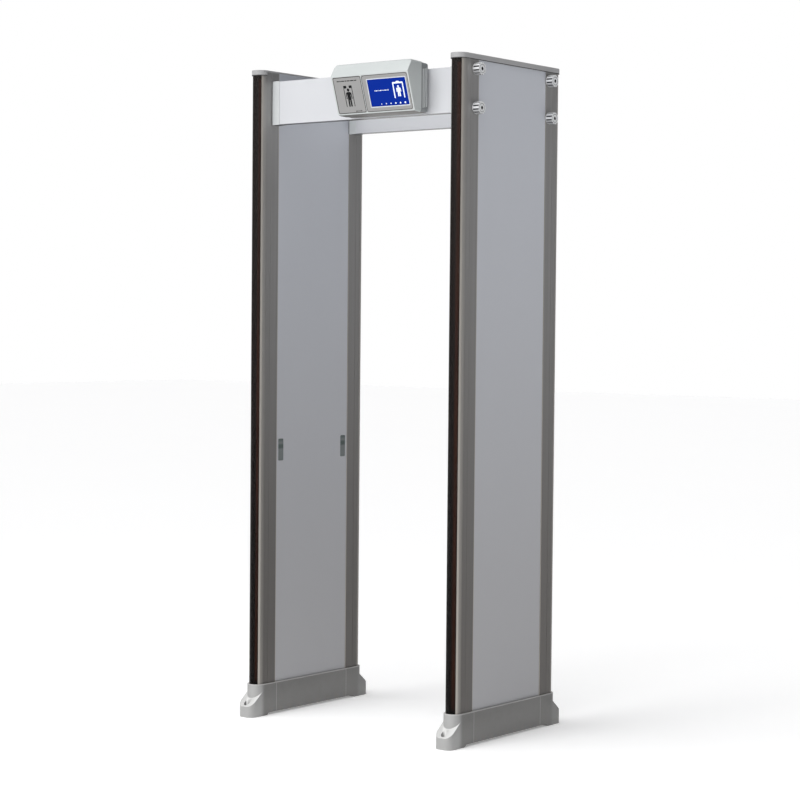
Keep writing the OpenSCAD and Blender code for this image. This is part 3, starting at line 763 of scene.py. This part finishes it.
def flat(outline, layer, band=0.0):
    """A flat shape on the sloping face, from points in millimetres across it and down it.

    With a band it is only a line of that width just inside the points.
    """
    depth, thick = layer
    shape = bmesh.new()
    corners = [shape.verts.new((x * MM, depth, -down * MM)) for x, down in outline]
    top = shape.faces.new(corners)
    top.normal_update()
    if band:
        bmesh.ops.inset_region(shape, faces=[top], thickness=band * MM, use_boundary=True,
                               use_even_offset=True)
        bmesh.ops.delete(shape, geom=[top], context="FACES_ONLY")
    grown = bmesh.ops.extrude_face_region(shape, geom=shape.faces)
    moved = [part for part in grown["geom"] if isinstance(part, bmesh.types.BMVert)]
    bmesh.ops.translate(shape, verts=moved, vec=(0, -thick, 0))
    bmesh.ops.recalc_face_normals(shape, faces=shape.faces)
    bmesh.ops.transform(shape, verts=shape.verts, matrix=face)
    return shape


def joined(shapes):
    """Several shapes as one."""
    whole = shapes[0]
    for part in shapes[1:]:
        carry = bpy.data.meshes.new("carry")
        part.to_mesh(carry)
        part.free()
        whole.from_mesh(carry)
        bpy.data.meshes.remove(carry)
    return whole


def bar(left, top, right, bottom, layer, cut=0.0):
    """A rectangle, with its corners cut if a cut is given."""
    points = [(left, top), (right, top), (right, bottom), (left, bottom)]
    if cut:
        points = [(left + cut, top), (right - cut, top), (right, top + cut), (right, bottom - cut),
                  (right - cut, bottom), (left + cut, bottom), (left, bottom - cut), (left, top + cut)]
    return flat(points, layer)


def arc(x, down, radius, turns):
    """Points round a centre, one for each turn in degrees."""
    return [(x + radius * cos(radians(turn)), down + radius * sin(radians(turn))) for turn in turns]


def disc(x, down, radius, layer, sides=20):
    """A round dot."""
    return flat(arc(x, down, radius, [360 * side / sides for side in range(sides)]), layer)


def frame_line(left, top, right, bottom, layer, corner, band):
    """A thin line round a rectangle with round corners."""
    corners = [(right - corner, top + corner, -90), (right - corner, bottom - corner, 0),
               (left + corner, bottom - corner, 90), (left + corner, top + corner, 180)]
    points = []
    for x, down, start in corners:
        points += arc(x, down, corner, range(start, start + 91, 15))
    return flat(points, layer, band)


def figure(x, top, high, layer, stout=1.5):
    """A standing figure: a head, and one outline for arms, body and legs.

    The outline is in hundredths of its height.
    """
    unit = high / 100
    outline = [(-7, 20), (7, 20), (15, 25), (17, 56), (12, 57), (11, 34), (9, 34), (10, 98), (2, 98),
               (1, 62), (-1, 62), (-2, 98), (-10, 98), (-9, 34), (-11, 34), (-12, 57), (-17, 56),
               (-15, 25)]
    points = [(x + stout * across * unit, top + down * unit) for across, down in outline]
    return [disc(x, top + 9 * unit, 8.5 * unit, layer), flat(points, layer)]


def arch(left, right, top, bottom, layer, band):
    """A gate seen from the front, with a console on its top bar."""
    middle = (left + right) / 2
    console = (middle - 1.6 * band, top - 0.7 * band, middle + 1.6 * band, top + band)
    return [bar(left, top + band, left + band, bottom, layer),
            bar(right - band, top + band, right, bottom, layer),
            bar(left, top, right, top + 1.2 * band, layer, cut=0.5 * band),
            bar(*console, layer, cut=0.4 * band)]


def marks(left, right, top, bottom, layer, widths):
    """A row of short bars between two ends, in place of words."""
    scale = (right - left) / (sum(widths) + len(widths) - 1)
    row, at = [], left
    for width in widths:
        row.append(bar(at, top, at + width * scale, bottom, layer))
        at += (width + 1) * scale
    return row


def printed(name, shapes, finish):
    """A print made of several flat shapes, fixed to the gate."""
    made = piece(name, joined(shapes), finish)
    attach(made, "gate")


film_finish = membrane_film()
stands_for("membrane_plate", film_finish, edge=0.0004, steps=2)
stands_for("display_bezel", film_finish, edge=0.0006, steps=2)
dark_ink = ink("black_ink", (0.004, 0.004, 0.005))
gate_sign = [bar(-116, 34, -103, 43, PLATE_INK, cut=1.5), bar(-93, 34, -80, 43, PLATE_INK, cut=1.5),
             bar(-116, 43, -113.4, 104, PLATE_INK), bar(-82.6, 43, -80, 104, PLATE_INK)]
printed("membrane_print", figure(-98, 43, 62, PLATE_INK, stout=1.2) + gate_sign
        + marks(-139, -56, 17.2, 20.2, PLATE_INK, widths=(5, 3, 7, 4, 6, 8, 5))
        + marks(-81, -55, 119, 121.4, PLATE_INK, widths=(4, 3, 5)), dark_ink)
line_ink = ink("grey_line_ink", (0.030, 0.029, 0.028))
membrane_outline = frame_line(-154.4, 5.6, -37.6, 126.0, PLATE_INK, corner=6, band=2.1)
printed("membrane_line", [membrane_outline], line_ink)
bezel_outline = frame_line(-34.4, 5.6, 154.4, 126.0, PLATE_INK, corner=11, band=1.5)
printed("bezel_line", [bezel_outline], line_ink)

# ---------- Display ----------
# A liquid crystal display shows a blue page with a white gate and figure, a line of marks and icons.
# It glows softly behind its frame, darker along its bottom, and a pale ring runs round its glass.
SCREEN_FOOT_Z = 2.055


def screen_page():
    made = Finish("lit_blue_screen")
    dots = made.grain(2500, 1)
    height = made.smooth(made.axis("z"), SCREEN_FOOT_Z, SCREEN_FOOT_Z + 0.015)
    page = made.mix(height, (0.0, 0.008, 0.16), (0.001, 0.025, 0.33))
    return made.surface(
        base_color=made.mix(dots, (0.0, 0.004, 0.04), (0.002, 0.008, 0.08)), specular_ior_level=0.03,
        roughness=0.22 + 0.06 * dots, emission_color=made.mix(0.12 * dots, page, (0.01, 0.05, 0.5)),
        emission_strength=0.8)


def lit_ink():
    made = Finish("lit_white_ink")
    dots = made.grain(2500, 1)
    glow = made.mix(dots, (0.70, 0.76, 0.84), (0.82, 0.88, 0.95))
    return made.surface(
        base_color=glow, roughness=0.3 + 0.1 * dots, emission_color=glow, emission_strength=0.35)


stands_for("display", screen_page(), edge=0.0006, steps=1)
lit_finish = lit_ink()
icons = [disc(29 + 19.4 * i, 103, 1.6 + 0.35 * i, SCREEN_INK, sides=8) for i in range(6)]
printed("screen_page_marks", figure(108.5, 46, 37, SCREEN_INK)
        + arch(87, 130, 35, 87, SCREEN_INK, band=4.1)
        + marks(10, 68, 57.4, 60.2, SCREEN_INK, widths=(1, 2, 1, 1, 2, 1, 1, 1, 2, 1, 1))
        + icons, lit_finish)
ring_outline = frame_line(-16.2, 17.8, 146.2, 113.2, PLATE_INK, corner=3.0, band=2.8)
printed("screen_ring", [ring_outline], ink("pale_ring", (0.72, 0.77, 0.83)))

# ---------- Electronics in the console ----------
# The main board stands on bosses in the rear shell, beside a power supply and a sounder.
# None of them shows while the housing is closed.


def green_board():
    made = Finish("green_circuit_board")
    traces = made.node("ShaderNodeTexVoronoi", {"feature": "DISTANCE_TO_EDGE"},
                       {"Vector": made.place, "Scale": 260.0})
    copper = made.smooth(0.06 - traces, 0, 0.02)
    mottle = made.grain(80, 2)
    return made.surface(
        base_color=made.mix(copper, (0.012, 0.10, 0.045), (0.05, 0.25, 0.11)), metallic=0.1,
        roughness=0.35 + 0.15 * mottle, normal=made.relief(copper, 0.00005))


stands_for("main_board", green_board(), edge=0.0003, steps=1)
stands_for("power_supply", bracket_steel(), edge=0.001, steps=2)
stands_for("sounder", black_finish, edge=0.0005, steps=2)

# ---------- Mains inlet and switch ----------
# A black three pin inlet with a rocker switch snaps into the left wall of the console.
# The red rocker tips about its middle.


def rocker_moulding():
    made = Finish("red_rocker")
    cloud = made.grain(90, 2)
    spark = made.grain(1500, 2)
    return made.surface(
        base_color=made.mix(cloud, (0.42, 0.020, 0.014), (0.55, 0.030, 0.020)),
        roughness=0.26 + 0.14 * spark, normal=made.relief(spark, 0.00005))


stands_for("power_inlet", black_finish, edge=0.0004, steps=1)
stands_for("power_rocker", rocker_moulding(), edge=0.0005, steps=2)
